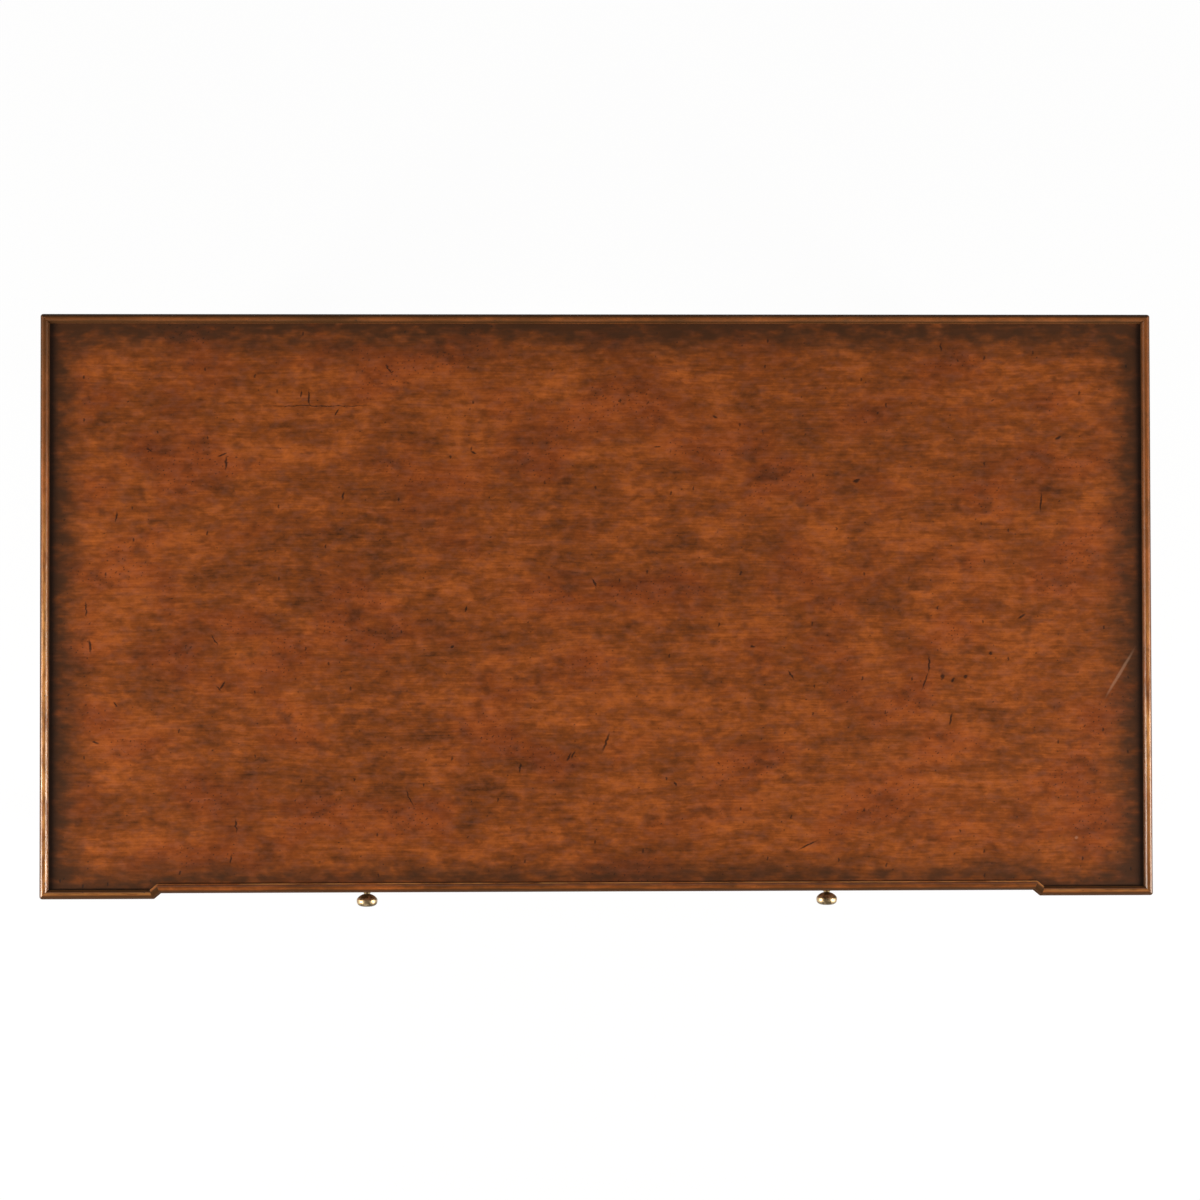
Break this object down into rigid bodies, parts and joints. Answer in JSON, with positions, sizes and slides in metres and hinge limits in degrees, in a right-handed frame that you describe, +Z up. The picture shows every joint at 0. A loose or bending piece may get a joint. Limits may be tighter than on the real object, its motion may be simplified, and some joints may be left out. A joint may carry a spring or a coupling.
{
  "type": "writing table",
  "caption": "Wooden writing table with a raised moulded edge round its top, a stepped front, one long frieze drawer with round brass knobs and square tapering legs.",
  "frame": {"origin": "on the floor, under the middle of the whole table with its knobs", "axes": "+X to the sitter's right, +Y from the sitter to the back of the table, +Z up"},
  "size_m": [1.372, 0.7366, 0.762],
  "materials": {
    "antiqued_wood": "antiqued red-brown polish over fine straight grain, darker towards the edges, with small marks",
    "inner_wood": "plain pale secondary wood, lightly stained, unpolished",
    "antique_brass": "turned brass, aged to olive brown in the hollows",
    "steel": "plain screw steel"
  },
  "bodies": {
    "table": {"back_apron": "antiqued_wood", "button_screws": "steel", "centre_kicker": "inner_wood", "centre_runner": "inner_wood", "drawer_stops": "inner_wood", "edge_back": "antiqued_wood", "edge_block_left": "antiqued_wood", "edge_block_right": "antiqued_wood", "edge_cant_left": "antiqued_wood", "edge_cant_right": "antiqued_wood", "edge_front": "antiqued_wood", "edge_left": "antiqued_wood", "edge_right": "antiqued_wood", "foot_glides": "antique_brass", "front_block_left": "antiqued_wood", "front_block_right": "antiqued_wood", "front_bottom_rail": "antiqued_wood", "front_top_rail": "antiqued_wood", "guide_left": "inner_wood", "guide_right": "inner_wood", "kicker_left": "inner_wood", "kicker_right": "inner_wood", "left_apron": "antiqued_wood", "leg_back_left": "antiqued_wood", "leg_back_right": "antiqued_wood", "leg_front_left": "antiqued_wood", "leg_front_right": "antiqued_wood", "lower_bead_back": "antiqued_wood", "lower_bead_front": "antiqued_wood", "lower_bead_left": "antiqued_wood", "lower_bead_right": "antiqued_wood", "rail_screws": "steel", "right_apron": "antiqued_wood", "runner_left": "inner_wood", "runner_right": "inner_wood", "tenon_pegs": "antiqued_wood", "top_buttons": "inner_wood", "top_panel": "antiqued_wood"},
    "drawer": {"drawer_front": "antiqued_wood", "drawer_side_left": "inner_wood", "drawer_side_right": "inner_wood", "drawer_back": "inner_wood", "drawer_bottom_left": "inner_wood", "drawer_bottom_right": "inner_wood", "drawer_muntin": "inner_wood", "cock_bead_bottom": "antiqued_wood", "cock_bead_left": "antiqued_wood", "cock_bead_right": "antiqued_wood", "cock_bead_top": "antiqued_wood", "knob_left": "antique_brass", "knob_right": "antique_brass", "knob_screws": "steel", "bottom_screws": "steel"}
  },
  "joints": [
    {"name": "drawer_slide", "type": "slide", "parent": "table", "child": "drawer", "axis": [0, -1, 0], "range_m": [0, 0.36]}
  ]
}
